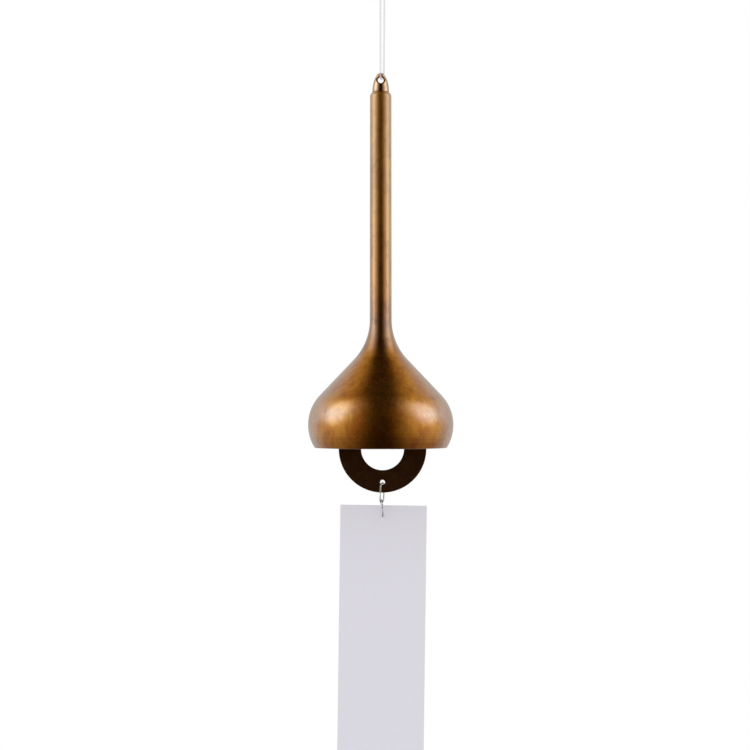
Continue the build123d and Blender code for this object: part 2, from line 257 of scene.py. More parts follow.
class StageSettings(PropertyGroup):
    """Camera, lamps and surroundings."""

    camera_right: length("Camera right", "Camera from the bell's axis", -2.36)
    camera_distance: length("Camera distance", "Camera in front of the bell's axis", 1400)
    camera_height: length("Camera height", "Camera from the hook", -173.55)
    lens: amount("Lens", "Focal length in millimetres on a 36 mm sensor", 162.8)
    room_light: amount("Room light", "Light of the white room on everything in it", 0.84)
    cloth_radius: length("Cloth radius", "Black cloth that only metal shows", 3000)
    cloth_reach: amount("Cloth reach", "Half of its width, as a share of its radius", 0.66)
    cloth_taper: amount("Cloth taper", "How much narrower the cloth is overhead", 0.275)
    cloth_fringe: amount("Cloth fringe", "Width of its faded edge, as a share of its radius", 0.83)
    cloth_gather: amount("Cloth gather", "How much narrower that fringe is overhead", 0.5)
    cloth_foot: amount("Cloth foot", "How much it dims the room below the rim", 0.38)
    cloth_veil: amount("Cloth veil", "How much it dims the room behind the bell", 0.42)
    cloth_thin: colour("Thin cloth", "Tint of the room through the fringe", 1, 0.72, 0.38)
    cloth_tint: colour("Cloth tint", "Tint of the cloth itself", 1, 0.5, 0.15)
    gloom: amount("Gloom", "Brightness of the cloth", 0.02)
    floor_radius: length("Floor radius", "Round floor under the bell", 950)
    floor_drop: length("Floor drop", "Floor below the strip's foot", 40)
    floor_colour: colour("Floor colour", "Pale floor", 0.86, 0.86, 0.87)
    box_distance: length("Softbox distance", "Softboxes from the cup", 1600)
    box_width: length("Softbox width", "Across each softbox", 1150)
    box_height: length("Softbox height", "Height of each softbox", 1610)
    box_power: amount("Softbox power", "Watts of the left softbox", 6.2)
    right_share: amount("Right share", "Right softbox's share of that power", 0.82)
    box_colour: colour("Softbox colour", "Cool light of the softboxes", 0.62, 0.83, 1)


class WindBellSettings(PropertyGroup):
    """All that the sidebar shows."""

    bell: PointerProperty(type=BellSizes)
    clapper: PointerProperty(type=ClapperSizes)
    strip: PointerProperty(type=StripSizes)
    line: PointerProperty(type=LineSizes)
    colours: PointerProperty(type=FinishColours)
    brass: PointerProperty(type=BrassLayers)
    stage: PointerProperty(type=StageSettings)


# Shader expressions


class Signal:
    """A socket of a node tree that takes part in Python expressions."""

    def __init__(self, tree, socket):
        self.tree = tree
        self.socket = socket

    def math(self, operation, *others, clamp=False):
        """A Math node of this socket and what follows it."""
        return join_math(self.tree, operation, (self, *others), clamp)

    def __add__(self, other):
        return self.math("ADD", other)

    def __radd__(self, other):
        return self.math("ADD", other)

    def __sub__(self, other):
        return self.math("SUBTRACT", other)

    def __rsub__(self, other):
        return join_math(self.tree, "SUBTRACT", (other, self))

    def __mul__(self, other):
        return self.math("MULTIPLY", other)

    def __rmul__(self, other):
        return self.math("MULTIPLY", other)

    def __truediv__(self, other):
        return self.math("DIVIDE", other)

    def __pow__(self, other):
        return self.math("POWER", other)

    def held(self):
        """The same value, held between 0 and 1."""
        return self.math("ADD", 0, clamp=True)

    def ease(self, low, high):
        """0 below low, 1 above high and smooth between."""
        values = {"Value": self, "From Min": low, "From Max": high}
        node = add_node(self.tree, "MapRange", {"interpolation_type": "SMOOTHSTEP"}, values)
        return Signal(self.tree, node.outputs["Result"])


def join_math(tree, operation, values, clamp=False):
    """A Math node of sockets and plain numbers."""
    settings = {"operation": operation, "use_clamp": clamp}
    node = add_node(tree, "Math", settings, dict(enumerate(values)))
    return Signal(tree, node.outputs[0])


def add_node(tree, kind, settings=None, values=None):
    """A node with its settings set first, then its sockets set or linked, by name or by number."""
    node = tree.nodes.new("ShaderNode" + kind)
    for key, value in (settings or {}).items():
        setattr(node, key, value)
    for key, value in (values or {}).items():
        if isinstance(value, Signal):
            tree.links.new(value.socket, node.inputs[key])
        else:
            node.inputs[key].default_value = value
    return node


class Finish:
    """A material or a world whose nodes are made by name."""

    def __init__(self, name, owner=None):
        self.owner = owner or bpy.data.materials.new(name)
        self.owner.use_nodes = True
        self.tree = self.owner.node_tree
        self.tree.nodes.clear()

    def node(self, kind, settings=None, values=None):
        """A node of this finish."""
        return add_node(self.tree, kind, settings, values)

    def out(self, node, name=0):
        """One output of a node."""
        return Signal(self.tree, node.outputs[name])

    def place(self):
        """Where the surface is on the object."""
        return self.out(self.node("TexCoord"), "Object")

    def noise(self, place, scale, upright=None, detail=3, roughness=0.55):
        """Cloudy noise from 0 to 1, scaled by another number along Z where one is given."""
        if upright:
            mapping = self.node("Mapping", values={"Vector": place, "Scale": (scale, scale, upright)})
            place = self.out(mapping)
            scale = 1
        values = {"Vector": place, "Scale": scale, "Detail": detail, "Roughness": roughness}
        return self.out(self.node("TexNoise", values=values), "Fac")

    def mix(self, share, first, second):
        """Two colours mixed. A Mix node numbers their sockets 6 and 7 and the mixed colour's 2."""
        node = self.node("Mix", {"data_type": "RGBA"}, {0: share, 6: rgba(first), 7: rgba(second)})
        return self.out(node, 2)

    def bump(self, height, strength, distance, under=None):
        """A surface normal raised by a height."""
        values = {"Height": height, "Strength": strength, "Distance": distance}
        if under:
            values["Normal"] = under
        return self.out(self.node("Bump", values=values))

    def surface(self, **values):
        """A Principled surface as the material's output."""
        named = {key.replace("_", " ").title().replace("Ior", "IOR"): value for key, value in values.items()}
        named = {key: rgba(value) if key == "Base Color" else value for key, value in named.items()}
        return self.show(self.node("BsdfPrincipled", values=named))

    def show(self, shader, output="OutputMaterial"):
        """Link a shader to the output node, and give back the material or world."""
        self.node(output, values={"Surface": self.out(shader)})
        return self.owner


def rgba(value):
    """A colour with full alpha, or a socket as it is."""
    if isinstance(value, Signal):
        return value
    return (*value[:3], 1)


# Heights above the rim, in metres, between which each zone of the brass fades in or out
RIM_LINES_OUT = (0.001, 0.012)
BELLY_OUT = (0.014, 0.022)
SHOULDER_IN = (0.0085, 0.0145)
SHOULDER_OUT = (0.0135, 0.0215)
# The collar, where flank and neck meet, takes painted shade and a little lacquer
COLLAR_IN = (0.036, 0.043)
COLLAR_OUT = (0.05, 0.062)
NECK_IN = (0.036, 0.055)
TOP_IN = (0.05, 0.13)


def turned_brass(settings):
    """Satin brass under a clear lacquer, with a cloudy patina, fine specks, turning lines at the rim and
    painted shade where flank and neck meet.
    """
    colours = settings.colours
    layers = settings.brass
    finish = Finish("turned_brass")
    place = finish.place()
    parts = finish.node("SeparateXYZ", values={0: place})
    above_rim = finish.out(parts, "Z") - RIM_Z
    clouds = finish.noise(place, 150, upright=90)
    patches = finish.noise(place, 270, upright=230)
    mottle = finish.noise(place, 620, upright=430, detail=4, roughness=0.65)
    specks = finish.noise(place, 1500, detail=2, roughness=0.7)
    grain = finish.noise(place, 3800, detail=1)
    rings = finish.noise(place, 12, upright=1500, detail=2)
    near_rim = 1 - above_rim.ease(*RIM_LINES_OUT)
    belly = 1 - above_rim.ease(*BELLY_OUT)
    shoulder = above_rim.ease(*SHOULDER_IN) * (1 - above_rim.ease(*SHOULDER_OUT))
    collar = above_rim.ease(*COLLAR_IN) * (1 - above_rim.ease(*COLLAR_OUT))
    neck = above_rim.ease(*NECK_IN)
    top = above_rim.ease(*TOP_IN)
    turned_away = finish.out(finish.node("LayerWeight"), "Facing")
    lacquer = turned_away.ease(0.35, 0.8) + turned_away * belly * layers.belly_lacquer
    lacquer = lacquer + shoulder * turned_away.ease(0.05, 0.28) * layers.shoulder_lacquer
    lacquer = lacquer + collar * layers.collar_lacquer + neck * layers.neck_lacquer
    tone = finish.mix(clouds.ease(0.38, 0.64), colours.brass, colours.brass_red)
    gold = mottle.ease(0.5, 0.68) * layers.mottle_gold + top * layers.top_gold
    tone = finish.mix(gold.held(), tone, colours.brass_gold)
    neck_stain = clouds.ease(0.48, 0.62) * layers.neck_cloud_stain
    neck_stain = neck_stain + mottle.ease(0.52, 0.66) * layers.neck_mottle_stain
    stain = specks.ease(0.5, 0.8) * layers.speck_stain + patches.ease(0.48, 0.7) * layers.patch_stain
    # The collar's share is painted shade where flank and neck meet, so stain here holds both real stains and
    # painted shade
    stain = stain + layers.base_stain + collar * layers.collar_shade + neck * neck_stain
    rim_lines = near_rim * rings.ease(0.5, 0.62) * layers.ring_stain
    tone = finish.mix((stain + rim_lines).held(), tone, colours.brass_dark)
    roughness = mottle * layers.mottle_roughness + grain * layers.grain_roughness + layers.clean_roughness
    roughness = roughness + neck * layers.neck_roughness + top * layers.top_roughness
    roughness = roughness + belly * layers.belly_roughness
    relief = finish.bump(rings * near_rim, strength=0.18, distance=0.02 * MM)
    relief = finish.bump(specks + grain * 0.5, strength=0.04, distance=0.02 * MM, under=relief)
    return finish.surface(
        base_color=tone,
        metallic=1.0,
        roughness=roughness,
        # The painted collar shade thins the lacquer there, as the stains do
        coat_weight=(lacquer * (1 - stain.held() * layers.lacquer_wear)).held(),
        coat_roughness=0.22,
        coat_ior=3.0,
        normal=relief,
    )


def bright_brass(colours):
    """Polished brass of the eye tip and the hanger."""
    finish = Finish("bright_brass")
    place = finish.place()
    clouds = finish.noise(place, 500)
    lines = finish.noise(place, 100, upright=6000, detail=2)
    tone = finish.mix(clouds.ease(0.4, 0.75) * 0.6, colours.tip, colours.tip_dull)
    relief = finish.bump(lines, strength=0.2, distance=0.01 * MM)
    return finish.surface(base_color=tone, metallic=1.0, roughness=0.16 + clouds * 0.08, normal=relief)


def dark_brass(colours):
    """Dark brown of the ring clapper."""
    finish = Finish("dark_brass")
    place = finish.place()
    clouds = finish.noise(place, 260, detail=4)
    grain = finish.noise(place, 2600, detail=2)
    tone = finish.mix(clouds.ease(0.4, 0.75), colours.ring, colours.ring_worn)
    relief = finish.bump(grain, strength=0.3, distance=0.02 * MM)
    return finish.surface(base_color=tone, metallic=1.0, roughness=0.42 + grain * 0.15, normal=relief)


def bright_wire(colours):
    """Drawn steel wire."""
    finish = Finish("bright_wire")
    marks = finish.noise(finish.place(), 3500, detail=2)
    tone = finish.mix(marks.ease(0.45, 0.8) * 0.4, colours.steel, colours.steel_dull)
    relief = finish.bump(marks, strength=0.15, distance=0.01 * MM)
    return finish.surface(base_color=tone, metallic=1.0, roughness=0.12 + marks * 0.1, normal=relief)


def smooth_line(colours):
    """Half-clear line with a faint twist."""
    finish = Finish("smooth_line")
    settings = {"wave_type": "BANDS", "bands_direction": "DIAGONAL"}
    values = {"Vector": finish.place(), "Scale": 900, "Distortion": 2, "Detail": 1}
    twist = finish.out(finish.node("TexWave", settings, values), "Fac")
    tone = finish.mix(twist * 0.06, colours.line, colours.line_twist)
    relief = finish.bump(twist, strength=0.02, distance=0.02 * MM)
    return finish.surface(base_color=tone, roughness=0.25 + twist * 0.05, alpha=0.38, normal=relief)


def plain_paper(colours):
    """Uncoated paper with fine fibres."""
    finish = Finish("plain_paper")
    place = finish.place()
    fibres = finish.noise(place, 2600, upright=700, detail=4)
    clouds = finish.noise(place, 60)
    tone = finish.mix(fibres.ease(0.4, 0.8) * 0.12, colours.paper, colours.paper_fibre)
    tone = finish.mix(clouds.ease(0.35, 0.7) * 0.1, tone, colours.paper_cloud)
    relief = finish.bump(fibres, strength=0.25, distance=0.03 * MM)
    return finish.surface(base_color=tone, metallic=0.0, roughness=0.85 + fibres * 0.1, normal=relief)


# Meshes


def only(kind, items):
    """The vertices, or the edges, among what a mesh operator made."""
    return [item for item in items if isinstance(item, kind)]


def round_edges(mesh, edges, offset, segments):
    """Round edges of a mesh."""
    bmesh.ops.bevel(
        mesh, geom=edges, offset=offset, segments=segments, profile=0.5, affect="EDGES", material=-1
    )


def round_ends(mesh, offset, segments):
    """Round the flat ends of wires and strands, which are the faces with more than four corners."""
    edges = [edge for edge in mesh.edges if any(len(face.verts) > 4 for face in edge.link_faces)]
    round_edges(mesh, edges, offset, segments)


def capped_circle(mesh, radius, sides, place):
    """A filled circle that stands upright and faces along Y, as its loop of edges."""
    made = bmesh.ops.create_circle(mesh, cap_ends=False, segments=sides, radius=radius)
    bmesh.ops.transform(mesh, matrix=Matrix.Translation(place) @ UPRIGHT, verts=made["verts"])
    loop = mesh.edges[:]
    bmesh.ops.holes_fill(mesh, edges=loop)
    return loop


def drawn(mesh, loop, way):
    """A loop of edges drawn out along a straight way."""
    made = bmesh.ops.extrude_edge_only(mesh, edges=loop)["geom"]
    bmesh.ops.translate(mesh, vec=way, verts=only(bmesh.types.BMVert, made))
    return only(bmesh.types.BMEdge, made)


def bent(mesh, loop, centre, turn, steps, climb=0):
    """A loop of edges drawn round a centre, and up by a climb at each step."""
    verts = list(dict.fromkeys(vert for edge in loop for vert in edge.verts))
    rise = (0, 0, climb)
    made = bmesh.ops.spin(
        mesh, geom=verts + loop, cent=centre, axis=(0, 0, 1), angle=turn, dvec=rise, steps=steps
    )
    return only(bmesh.types.BMEdge, made["geom_last"])


class Turning:
    """An outline drawn in the XZ plane, then turned about the Z axis."""

    def __init__(self, x, z):
        self.mesh = bmesh.new()
        self.end = self.mesh.verts.new((x, 0, z))

    def line(self, *points):
        """Straight runs from point to point."""
        for x, z in points:
            made = bmesh.ops.extrude_vert_indiv(self.mesh, verts=[self.end])
            self.end = made["verts"][0]
            self.end.co = (x, 0, z)

    def arc(self, x, z, turn, steps):
        """A round run about a centre, anticlockwise as seen from the front."""
        made = bmesh.ops.spin(
            self.mesh, geom=[self.end], cent=(x, 0, z), axis=(0, -1, 0), angle=turn, steps=steps
        )
        self.end = only(bmesh.types.BMVert, made["geom_last"])[0]

    def turned(self, steps):
        """The outline turned all the way round."""
        mesh = self.mesh
        outline = mesh.verts[:] + mesh.edges[:]
        bmesh.ops.spin(mesh, geom=outline, axis=(0, 0, 1), angle=2 * pi, steps=steps, use_merge=True)
        bmesh.ops.remove_doubles(mesh, verts=mesh.verts, dist=MERGE_TURNED)
        bmesh.ops.dissolve_degenerate(mesh, dist=MERGE_TURNED / 10, edges=mesh.edges)
        bmesh.ops.recalc_face_normals(mesh, faces=mesh.faces)
        return mesh


def round_corner(mesh, radius, z, offset, segments):
    """Round the circular edge of a turned mesh that lies at a radius and a height."""

    def on_it(vert):
        return abs(vert.co.xy.length - radius) < NEAR and abs(vert.co.z - z) < NEAR

    edges = [edge for edge in mesh.edges if all(on_it(vert) for vert in edge.verts)]
    round_edges(mesh, edges, offset, segments)


def add_object(name, data):
    """A new object in the scene."""
    thing = bpy.data.objects.new(name, data)
    bpy.context.scene.collection.objects.link(thing)
    return thing


def make_piece(name, mesh, material, smooth=SMOOTH):
    """An object from a mesh, with smooth faces that break at real edges."""
    data = bpy.data.meshes.new(name)
    mesh.to_mesh(data)
    mesh.free()
    data.shade_smooth()
    data.set_sharp_from_angle(angle=radians(smooth))
    data.materials.append(material)
    return add_object(name, data)


def cut_out(piece, outline, place, steps):
    """Cut a turned outline out of a piece, from front to back at a place."""
    mesh = outline.turned(steps)
    bmesh.ops.transform(mesh, matrix=Matrix.Translation(place) @ UPRIGHT, verts=mesh.verts)
    cutter = make_piece("cutter", mesh, piece.data.materials[0])
    modifier = piece.modifiers.new("cut", "BOOLEAN")
    modifier.operation = "DIFFERENCE"
    modifier.solver = "EXACT"
    modifier.object = cutter
    data = evaluated_mesh(piece)
    data.name = piece.data.name
    data.set_sharp_from_angle(angle=radians(SMOOTH))
    piece.modifiers.remove(modifier)
    piece.data = data
    bpy.data.objects.remove(cutter)


def evaluated_mesh(piece):
    """A new mesh of a piece with its modifiers applied, or of a curve."""
    bpy.context.view_layer.update()
    graph = bpy.context.evaluated_depsgraph_get()
    return bpy.data.meshes.new_from_object(piece.evaluated_get(graph))


def copied_node(node, name, material, across=1):
    """A node's own shape as a new piece, merged, and slimmed to a share of its width."""
    mesh = bmesh.new()
    mesh.from_mesh(frame["nodes"][node].data)
    bmesh.ops.remove_doubles(mesh, verts=mesh.verts, dist=MERGE_COPIED)
    bmesh.ops.scale(mesh, vec=(across, across, 1), verts=mesh.verts)
    return make_piece(name, mesh, material, SMOOTH_COPIED)


def make_cord(name, route, diameter, material):
    """A cord of round section along one smooth NURBS spline, from a route in millimetres."""
    curve = bpy.data.curves.new(name, "CURVE")
    curve.dimensions = "3D"
    curve.resolution_u = CORD_STEPS
    curve.bevel_depth = diameter / 2
    curve.bevel_resolution = CORD_ROUNDNESS
    curve.use_fill_caps = True
    spline = curve.splines.new("NURBS")
    spline.points.add(len(route) - 1)
    for point, place in zip(spline.points, route):
        point.co = (*Vector(place) * MM, 1)
    spline.order_u = 3
    spline.use_endpoint_u = True
    curve.materials.append(material)
    return add_object(name, curve)


def as_mesh(cord):
    """A cord turned into a closed mesh of the same name."""
    data = evaluated_mesh(cord)
    name = cord.name
    bpy.data.objects.remove(cord)
    mesh = bmesh.new()
    mesh.from_mesh(data)
    bmesh.ops.remove_doubles(mesh, verts=mesh.verts, dist=MERGE_CORD)
    bmesh.ops.recalc_face_normals(mesh, faces=mesh.faces)
    return make_piece(name, mesh, data.materials[0], SMOOTH_CORD)


def settle(piece, body, slot, *nodes):
    """Tell which body a piece rides on and the nodes that it stands for; the slot, its finish, is not used.
    """
    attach(piece, body)
    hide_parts(*nodes)


# Turned brass


def bell_outline(sizes, low, high):
    """The outline from the neck's top down to the rim and up inside, with its rim and crown corners."""
    rim_z = low.z
    neck_radius = sizes.neck_diameter / 2
    top_radius = sizes.neck_top_diameter / 2
    crown_radius = sizes.crown_diameter / 2
    flank = sizes.flank_angle
    belly_z = rim_z + sizes.belly_height
    shoulder_x = high.x - sizes.shoulder_curve
    lip_x = high.x - sizes.lip_curve
    flank_x = shoulder_x + sizes.shoulder_curve * cos(flank)
    flank_z = belly_z + sizes.shoulder_curve * sin(flank)
    flare_x = neck_radius + sizes.neck_flare * (1 - cos(flank))
    flare_z = flank_z + (flank_x - flare_x) / tan(flank)
    neck_z = flare_z + sizes.neck_flare * sin(flank)
    inner_shoulder = sizes.shoulder_curve - sizes.wall
    inner_lip = sizes.lip_curve - sizes.wall
    outer_fall = asin(sizes.belly_height / sizes.lip_curve)
    inner_fall = asin(sizes.belly_height / inner_lip)
    inner_x = shoulder_x + inner_shoulder * cos(flank)
    inner_z = belly_z + inner_shoulder * sin(flank)
    crown_z = inner_z + (inner_x - crown_radius) / tan(flank)
    inner_rim_x = lip_x + inner_lip * cos(inner_fall)
    outer_rim_x = lip_x + sizes.lip_curve * cos(outer_fall)
    # How far the round of the rim reaches from each corner
    inner_round = sizes.rim_round / tan((pi / 2 - inner_fall) / 2)
    outer_round = sizes.rim_round / tan((pi / 2 + outer_fall) / 2)
    # The first step inside is a little longer than that, so that the round ends within it
    first_step = 1.2 * inner_round / inner_lip

    outline = Turning(0, high.z)
    outline.line((top_radius - sizes.neck_bevel, high.z), (top_radius, high.z - sizes.neck_bevel_drop))
    outline.line((neck_radius, neck_z))
    outline.arc(neck_radius + sizes.neck_flare, neck_z, flank, steps=36)
    outline.line((flank_x, flank_z))
    outline.arc(shoulder_x, belly_z, -flank, steps=36)
    outline.arc(lip_x, belly_z, -outer_fall, steps=24)
    outline.line((inner_rim_x, rim_z))
    outline.arc(lip_x, belly_z, first_step, steps=1)
    outline.arc(lip_x, belly_z, inner_fall - first_step, steps=18)
    outline.arc(shoulder_x, belly_z, flank, steps=28)
    outline.line((crown_radius, crown_z), (0, crown_z))
    return outline, ((outer_rim_x, outer_round), (inner_rim_x, inner_round)), (crown_radius, crown_z)


def make_bell(settings):
    """The brass cup and its long neck."""
    sizes = settings.bell
    low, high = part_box("bell_body")
    outline, rim, crown = bell_outline(sizes, low, high)
    mesh = outline.turned(sizes.turns)
    for radius, offset in rim:
        round_corner(mesh, radius, low.z, offset, segments=5)
    round_corner(mesh, *crown, sizes.crown_round * tan(sizes.flank_angle / 2), segments=6)
    top_radius = sizes.neck_top_diameter / 2
    round_corner(mesh, top_radius, high.z - sizes.neck_bevel_drop, sizes.neck_bevel_round, segments=5)
    round_corner(mesh, top_radius - sizes.neck_bevel, high.z, sizes.neck_top_round, segments=3)
    bell = make_piece("brass_bell", mesh, turned_brass(settings))
    settle(bell, "bell", "brushed_brass", "bell_body")


def make_tip(settings):
    """The shinier plug with the eye for the line."""
    slimming = settings.bell.tip_slimming
    tip = copied_node("eye_tip", "brass_eye_tip", bright_brass(settings.colours), slimming)
    settle(tip, "bell", "polished_brass", "eye_tip")


def make_hanger(settings):
    """The plug with a ring eye in the cup's ceiling."""
    hanger = copied_node("clapper_hanger", "brass_hanger", bright_brass(settings.colours))
    settle(hanger, "bell", "polished_brass", "clapper_hanger")


# Ring clapper, links and strip


def make_ring(settings):
    """The flat dark ring with its two small holes."""
    sizes = settings.clapper
    low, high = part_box("ring_clapper")
    middle = (low + high) / 2
    radius = (high.x - low.x) / 2
    half = (high.y - low.y) / 2
    bore = sizes.bore / 2
    band = sizes.edge_support
    outline = Turning(bore, -half)
    outline.line((bore + band, -half), (radius - band, -half), (radius, -half), (radius, half))
    outline.line((radius - band, half), (bore + band, half), (bore, half), (bore, -half))
    mesh = outline.turned(steps=160)
    for edge_radius in (bore, radius):
        for edge_z in (-half, half):
            round_corner(mesh, edge_radius, edge_z, sizes.edge, segments=3)
    bmesh.ops.transform(mesh, matrix=Matrix.Translation(middle) @ UPRIGHT, verts=mesh.verts)
    ring = make_piece("dark_ring", mesh, dark_brass(settings.colours))
    hole = sizes.hole_diameter / 2
    wide = hole + sizes.hole_bevel + half
    waist = half - sizes.hole_bevel
    for joint in ("clapper_swing_sideways", "first_link_swing"):
        flare = Turning(0, -2 * half)
        flare.line((wide, -2 * half), (hole, -waist), (hole, waist), (wide, 2 * half), (0, 2 * half))
        cut_out(ring, flare, joint_place(joint), steps=48)
    settle(ring, "clapper", "darkened_brass", "ring_clapper")


def link_matrix(top, turn, lean):
    """A link's own frame: x across it, y up along it, its origin at its top wire."""
    across = Vector((sin(turn), cos(turn), 0))
    up = Vector((sin(lean), 0, cos(lean)))
    out = across.cross(up).normalized()
    up = out.cross(across)
    matrix = Matrix((across, up, out)).transposed().to_4x4()
    matrix.translation = top
    return matrix


def bent_link(name, matrix, width, reach, sizes, material):
    """One oval link of round wire, bent shut in the middle of one side."""
    half = width / 2
    gap = sizes.butt_gap / 2
    run = reach / 2 - half - gap
    mesh = bmesh.new()
    loop = capped_circle(mesh, sizes.wire / 2, WIRE_SIDES, (-half, gap - reach / 2, 0))
    loop = drawn(mesh, loop, (0, run, 0))
    loop = bent(mesh, loop, (0, -half, 0), -pi, WIRE_BEND_STEPS)
    loop = drawn(mesh, loop, (0, width - reach, 0))
    loop = bent(mesh, loop, (0, half - reach, 0), -pi, WIRE_BEND_STEPS)
    loop = drawn(mesh, loop, (0, run, 0))
    bmesh.ops.holes_fill(mesh, edges=loop)
    bmesh.ops.recalc_face_normals(mesh, faces=mesh.faces)
    round_ends(mesh, sizes.wire_round, segments=2)
    bmesh.ops.transform(mesh, matrix=matrix, verts=mesh.verts)
    return make_piece(name, mesh, material)


def make_links(settings):
    """Both wire links between ring and strip."""
    sizes = settings.clapper
    material = bright_wire(settings.colours)
    top = joint_place("first_link_swing") - Vector((0, 0, sizes.link_sink))
    first = link_matrix(top, sizes.first_turn, sizes.first_lean)
    foot = first @ Vector((0, -sizes.first_length, 0))
    second = link_matrix(foot + Vector((0, 0, sizes.overlap)), sizes.second_turn, sizes.second_lean)
    first_link = bent_link("wire_link_1", first, sizes.first_width, sizes.first_length, sizes, material)
    second_link = bent_link("wire_link_2", second, sizes.second_width, sizes.second_length, sizes, material)
    settle(first_link, "first_link", "steel_wire", "upper_link")
    settle(second_link, "second_link", "steel_wire", "lower_link")


def make_strip(settings):
    """The blank paper strip with its pierced hole."""
    sizes = settings.strip
    hinge = joint_place("strip_swing_sideways")
    mesh = bmesh.new()
    bmesh.ops.create_grid(mesh, x_segments=12, y_segments=48, size=0.5)
    bmesh.ops.scale(mesh, vec=(sizes.width, sizes.height, 1), verts=mesh.verts)
    middle = (sizes.hinge_offset, sizes.hinge_inset - sizes.height / 2, 0)
    bmesh.ops.translate(mesh, vec=middle, verts=mesh.verts)
    for vert in mesh.verts:
        drop = max(0, -vert.co.y) / sizes.height
        vert.co.z = sizes.bow * drop * drop
    bmesh.ops.solidify(mesh, geom=mesh.faces[:] + mesh.edges[:] + mesh.verts[:], thickness=sizes.thickness)
    bmesh.ops.translate(mesh, vec=(0, 0, sizes.thickness / 2), verts=mesh.verts)
    bmesh.ops.recalc_face_normals(mesh, faces=mesh.faces)
    stand = Matrix.Translation(hinge) @ Matrix.Rotation(sizes.lean, 4, "Y") @ UPRIGHT
    bmesh.ops.transform(mesh, matrix=stand, verts=mesh.verts)
    strip = make_piece("paper_strip_sheet", mesh, plain_paper(settings.colours))
    hole = sizes.hole_diameter / 2
    punch = Turning(0, -MM)
    punch.line((hole, -MM), (hole, MM), (0, MM))
    cut_out(strip, punch, hinge + Vector((0, 0, sizes.hole_rise)), steps=40)
    settle(strip, "strip", "strip_paper", "paper_strip")


# Line and thread

# Routes of the cords in millimetres, from their knots out and back
LINE_ROUTE = [
    (-0.1, -0.45, -16.1), (-0.1, -2.8, -46.3), (-0.1, -3.35, -50.6),
    (-0.06, -2.6, -51.33), (0.33, 2.6, -51.33), (0.75, 3.45, -50.7),
    (1.3, 3.1, -48.98), (1.34, 2.7, -44.3), (1.55, 0.45, -16.1),
]
LOOP_ROUTE = [
    (-0.049, 0, -14.6), (-3.007, 0, -7.207), (-2.7, 0, 0.4),
    (2.7, 0, 0.4), (4.447, 0, -7.207), (1.489, 0, -14.6),
]
THREAD_EYE_ROUTE = [
    (0.75, -0.55, -172.4), (0.75, -1.12, -171.0), (0.75, -1.18, -169.9),
    (0.75, -0.75, -169.2), (0.75, 0.75, -169.2), (0.75, 1.18, -169.9),
    (0.75, 1.12, -171.0), (0.75, 0.55, -172.4),
]
THREAD_ROUTE = [
    (0.75, -0.55, -173.8), (0.75, -1.3, -182.05), (0.75, -1.38, -187.5),
    (0.75, -1.3, -189.6), (0.75, -0.75, -189.95), (0.75, 0.75, -189.95),
    (0.75, 1.3, -189.6), (0.75, 1.38, -187.5), (0.75, 1.3, -182.05),
    (0.75, 0.55, -173.8),
]


def wound_knot(name, node, diameter, height, strand, material):
    """A knot as turns of cord wound tightly round two straight strands."""
    low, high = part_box(node)
    middle = (low + high) / 2
    coil = (diameter - strand) / 2
    climb = height - strand
    turns = climb / strand
    steps = round(KNOT_TURN_STEPS * turns)
    mesh = bmesh.new()
    loop = capped_circle(mesh, strand * KNOT_STRAND, KNOT_SIDES, (coil, 0, strand / 2))
    loop = bent(mesh, loop, (0, 0, 0), 2 * pi * turns, steps, climb / steps)
    bmesh.ops.holes_fill(mesh, edges=loop)
    core = min(strand, coil - strand / 2)
    rod = {"segments": KNOT_SIDES, "radius1": core * KNOT_STRAND, "radius2": core * KNOT_STRAND}
    for side in (-1, 1):
        place = Matrix.Translation((0, side * core / 2, height / 2))
        bmesh.ops.create_cone(mesh, cap_ends=True, depth=height * KNOT_CORE, matrix=place, **rod)
    bmesh.ops.recalc_face_normals(mesh, faces=mesh.faces)
    round_ends(mesh, core * KNOT_ROUND, segments=3)
    bmesh.ops.translate(mesh, vec=(middle.x, middle.y, low.z), verts=mesh.verts)
    return make_piece(name, mesh, material, SMOOTH_CORD)


def make_line(settings):
    """The doubled line, its knot and the loop for the hook."""
    sizes = settings.line
    material = smooth_line(settings.colours)
    knot_sizes = (sizes.line_knot_diameter, sizes.line_knot_height, sizes.line_diameter)
    knot = wound_knot("line_knot_wound", "line_knot", *knot_sizes, material)
    settle(knot, "top_knot", "nylon_line", "line_knot")
    line = make_cord("doubled_line", LINE_ROUTE, sizes.line_diameter, material)
    settle(line, "doubled_line", "nylon_line", "hanging_line")
    loop = make_cord("hook_loop_line", LOOP_ROUTE, sizes.line_diameter, material)
    settle(loop, "hook_loop", "nylon_line", "hanging_loop")


def make_thread(settings):
    """The clapper's thread: a short loop on the hanger, a knot and a long loop through the ring."""
    sizes = settings.line
    material = smooth_line(settings.colours)
    knot_sizes = (sizes.thread_knot_diameter, sizes.thread_knot_height, sizes.thread_diameter)
    knot = wound_knot("thread_knot_wound", "thread_knot", *knot_sizes, material)
    settle(knot, "thread_top", "nylon_line", "thread_knot")
    eye_loop = as_mesh(make_cord("thread_eye_turn", THREAD_EYE_ROUTE, sizes.thread_diameter, material))
    settle(eye_loop, "thread_top", "nylon_line", "thread_eye_loop")
    thread = make_cord("clapper_thread_line", THREAD_ROUTE, sizes.thread_diameter, material)
    settle(thread, "thread_loop", "nylon_line", "clapper_thread")


# Stage


